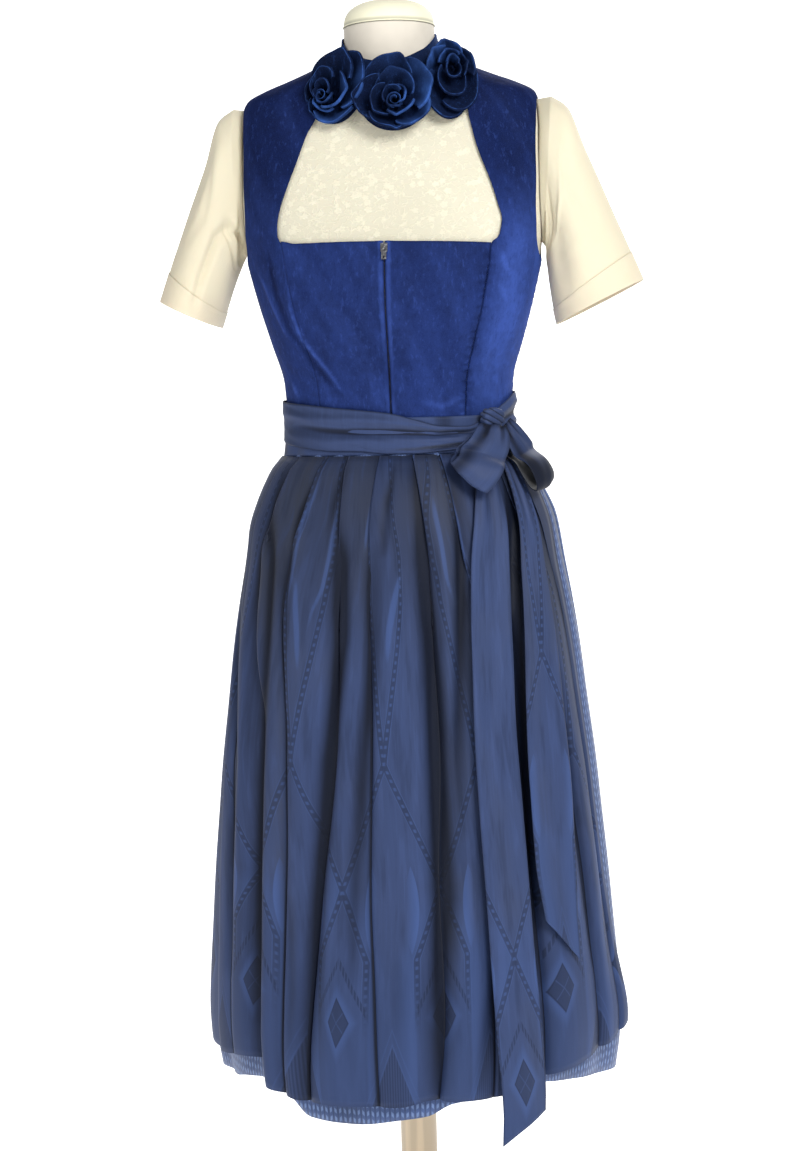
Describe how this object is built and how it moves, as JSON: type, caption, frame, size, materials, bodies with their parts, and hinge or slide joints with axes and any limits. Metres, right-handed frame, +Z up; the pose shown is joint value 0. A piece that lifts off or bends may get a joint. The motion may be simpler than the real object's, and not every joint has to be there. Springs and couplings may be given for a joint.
{
  "type": "dirndl dress with apron and blouse on a limbless dress form",
  "caption": "Velvet bodice with a front zip, full skirt, pleated apron tied in a side bow, short-sleeved blouse and rolled-rose collar, worn by a padded form on a pole",
  "frame": {"origin": "centre of the stand's foot, on its underside", "axes": "+Z up along the pole, -Y to the front of the dress, +X to the right of someone who faces it"},
  "size_m": [0.5828, 0.4454, 1.533],
  "materials": {
    "form_cloth": "ivory knit cover, matt",
    "cap_cloth": "pale yellow cloth cover, matt",
    "pale_wood": "pale varnished wood",
    "blouse_cotton": "cream cotton, matt, with lace at the front",
    "velvet": "royal blue velvet, soft sheen",
    "skirt_cotton": "blue woven cloth, fine stripes",
    "taffeta": "shot navy taffeta, low sheen",
    "zip_metal": "dark lacquered metal"
  },
  "bodies": {
    "root": {"form_torso": "form_cloth", "form_neck_cap": "cap_cloth", "stand": "pale_wood", "blouse_front": "blouse_cotton", "blouse_back": "blouse_cotton", "blouse_sleeve_left": "blouse_cotton", "blouse_sleeve_right": "blouse_cotton", "blouse_cuff_left": "blouse_cotton", "blouse_cuff_right": "blouse_cotton", "bodice_front_left": "velvet", "bodice_front_right": "velvet", "bodice_side_front_left": "velvet", "bodice_side_front_right": "velvet", "bodice_back": "velvet", "rose_band": "velvet", "rose_left": "velvet", "rose_centre": "velvet", "rose_right": "velvet", "skirt_front": "skirt_cotton", "skirt_back": "skirt_cotton", "apron": "taffeta", "apron_band": "taffeta", "sash_wrap": "taffeta", "sash_knot": "taffeta", "bow_loop_front": "taffeta", "bow_loop_side": "taffeta", "sash_tail_long": "taffeta", "sash_tail_short": "taffeta", "zip_slider": "zip_metal"},
    "pull_tab": {"zip_pull_tab": "zip_metal"}
  },
  "joints": [
    {"name": "pull_tab_hinge", "type": "hinge", "parent": "root", "child": "pull_tab", "pos_m": [0, -0.12227, 1.2353], "axis": [-1, 0, 0], "range_deg": [0, 140]}
  ]
}
